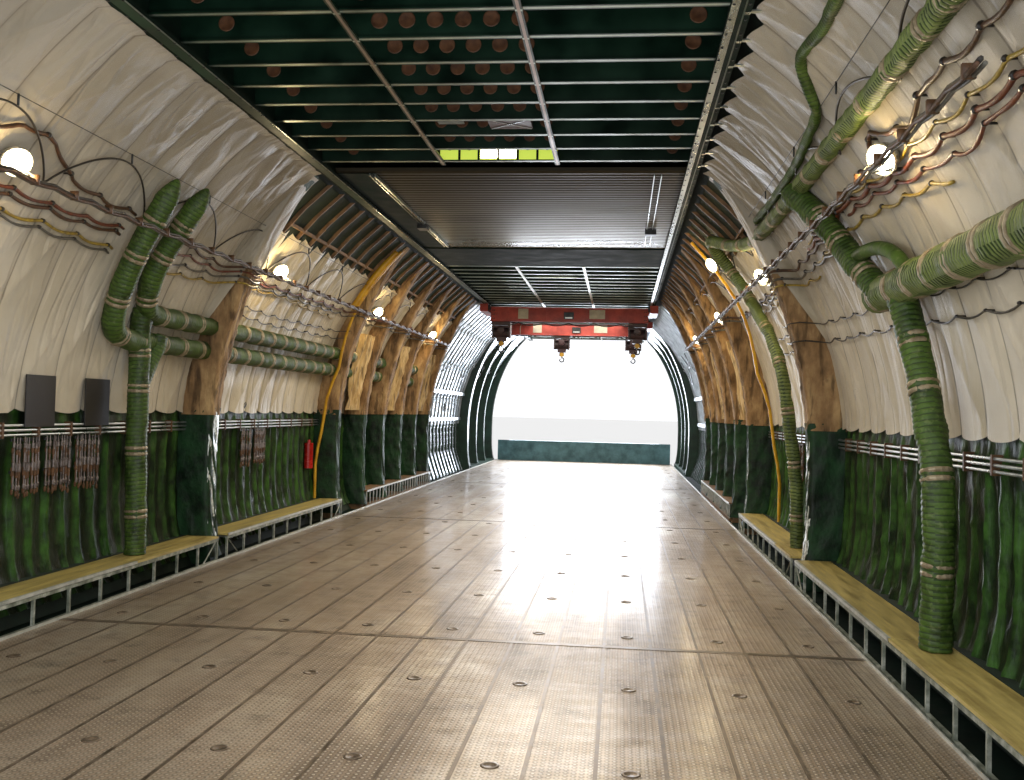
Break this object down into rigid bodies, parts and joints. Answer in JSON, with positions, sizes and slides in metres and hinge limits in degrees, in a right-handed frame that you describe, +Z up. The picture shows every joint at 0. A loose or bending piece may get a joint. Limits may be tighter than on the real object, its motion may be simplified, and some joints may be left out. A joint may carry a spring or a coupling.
{
  "type": "cargo hold section of a heavy military transport plane",
  "caption": "Open-ended fuselage section of a heavy transport plane: lined cargo hold with metal deck, side benches, air ducts and overhead travelling cranes.",
  "frame": {"origin": "middle of the flat keel strip under the belly", "axes": "+X to the right-hand side, +Y forward to the open nose, +Z up"},
  "size_m": [7.9, 31.9997, 7.65],
  "materials": {
    "skin": "pale grey satin paint over riveted sheet",
    "lining": "cream padded cloth",
    "quilt": "dark green quilted cloth",
    "deck": "worn metal plank with raised dots",
    "primer": "dark green satin primer",
    "metal": "bare metal, lightly worn",
    "plank": "olive-yellow painted plywood",
    "crane": "red satin paint",
    "duct": "green spiral-wrapped cloth tape",
    "yellow": "yellow gloss paint",
    "hook": "dark oiled steel",
    "lamp": "lit lamp glass"
  },
  "bodies": {
    "hold": {"wall_left_aft": "skin", "wall_left_mid": "skin", "wall_left_nose": "skin", "wall_right_aft": "skin", "wall_right_mid": "skin", "wall_right_nose": "skin", "belly_aft": "skin", "belly_nose": "skin", "crown": "skin", "deck_panel_1": "deck", "deck_panel_2": "deck", "deck_panel_3": "deck", "deck_panel_4": "deck", "floor_frame": "primer", "crane_rail_left": "primer", "crane_rail_right": "metal", "upper_floor": "primer", "ceiling_grid_aft": "primer", "ceiling_grid_nose": "primer", "ceiling_corrugated": "metal", "ceiling_box_panel": "primer", "frame_1_left": "lining", "frame_1_right": "lining", "frame_2_left": "lining", "frame_2_right": "lining", "mid_frames_left": "lining", "mid_frames_right": "lining", "upper_ribs_left": "primer", "upper_ribs_right": "primer", "nose_frames_left": "primer", "nose_frames_right": "primer", "ducts_left": "duct", "ducts_right": "duct", "pipes_left": "metal", "pipes_right": "metal", "yellow_pipe_left": "yellow", "yellow_pipe_right": "yellow", "lamps_left": "lamp", "lamps_right": "lamp", "extinguisher": "crane", "nose_sill": "primer", "bench_frame_left": "metal", "bench_frame_right": "metal"},
    "lid_left_1": {"seat_lid_left_1": "plank"},
    "lid_left_2": {"seat_lid_left_2": "plank"},
    "lid_right_1": {"seat_lid_right_1": "plank"},
    "lid_right_2": {"seat_lid_right_2": "plank"},
    "crane_1": {"crane_bridge_1": "crane"},
    "crane_1_hoist_left": {"hoist_1_left": "crane"},
    "crane_1_hook_left": {"hook_1_left": "hook"},
    "crane_1_hoist_right": {"hoist_1_right": "crane"},
    "crane_1_hook_right": {"hook_1_right": "hook"},
    "crane_2": {"crane_bridge_2": "crane"},
    "crane_2_hoist_left": {"hoist_2_left": "crane"},
    "crane_2_hook_left": {"hook_2_left": "hook"},
    "crane_2_hoist_right": {"hoist_2_right": "crane"},
    "crane_2_hook_right": {"hook_2_right": "hook"}
  },
  "joints": [
    {"name": "lid_left_1_hinge", "type": "hinge", "parent": "hold", "child": "lid_left_1", "pos_m": [-3.549, -13.61, 1.02], "axis": [0, -1, 0], "range_deg": [0, 80]},
    {"name": "lid_left_2_hinge", "type": "hinge", "parent": "hold", "child": "lid_left_2", "pos_m": [-3.549, -6.75, 1.02], "axis": [0, -1, 0], "range_deg": [0, 80]},
    {"name": "lid_right_1_hinge", "type": "hinge", "parent": "hold", "child": "lid_right_1", "pos_m": [3.549, -11.24, 1.02], "axis": [0, 1, 0], "range_deg": [0, 80]},
    {"name": "lid_right_2_hinge", "type": "hinge", "parent": "hold", "child": "lid_right_2", "pos_m": [3.549, -6.22, 1.02], "axis": [0, 1, 0], "range_deg": [0, 80]},
    {"name": "crane_1_travel", "type": "slide", "parent": "hold", "child": "crane_1", "axis": [0, 1, 0], "range_m": [-18.5, 1.4]},
    {"name": "crane_2_travel", "type": "slide", "parent": "hold", "child": "crane_2", "axis": [0, 1, 0], "range_m": [-1.4, 5.6]},
    {"name": "hoist_1_left_travel", "type": "slide", "parent": "crane_1", "child": "crane_1_hoist_left", "axis": [1, 0, 0], "range_m": [0, 1.38]},
    {"name": "hoist_1_right_travel", "type": "slide", "parent": "crane_1", "child": "crane_1_hoist_right", "axis": [1, 0, 0], "range_m": [-1.38, 0]},
    {"name": "hoist_2_left_travel", "type": "slide", "parent": "crane_2", "child": "crane_2_hoist_left", "axis": [1, 0, 0], "range_m": [-1.26, 0.12]},
    {"name": "hoist_2_right_travel", "type": "slide", "parent": "crane_2", "child": "crane_2_hoist_right", "axis": [1, 0, 0], "range_m": [-1.33, 0.05]},
    {"name": "hook_1_left_lift", "type": "slide", "parent": "crane_1_hoist_left", "child": "crane_1_hook_left", "axis": [0, 0, 1], "range_m": [-3, 0]},
    {"name": "hook_1_right_lift", "type": "slide", "parent": "crane_1_hoist_right", "child": "crane_1_hook_right", "axis": [0, 0, 1], "range_m": [-3, 0]},
    {"name": "hook_2_left_lift", "type": "slide", "parent": "crane_2_hoist_left", "child": "crane_2_hook_left", "axis": [0, 0, 1], "range_m": [-3, 0]},
    {"name": "hook_2_right_lift", "type": "slide", "parent": "crane_2_hoist_right", "child": "crane_2_hook_right", "axis": [0, 0, 1], "range_m": [-3, 0]}
  ]
}
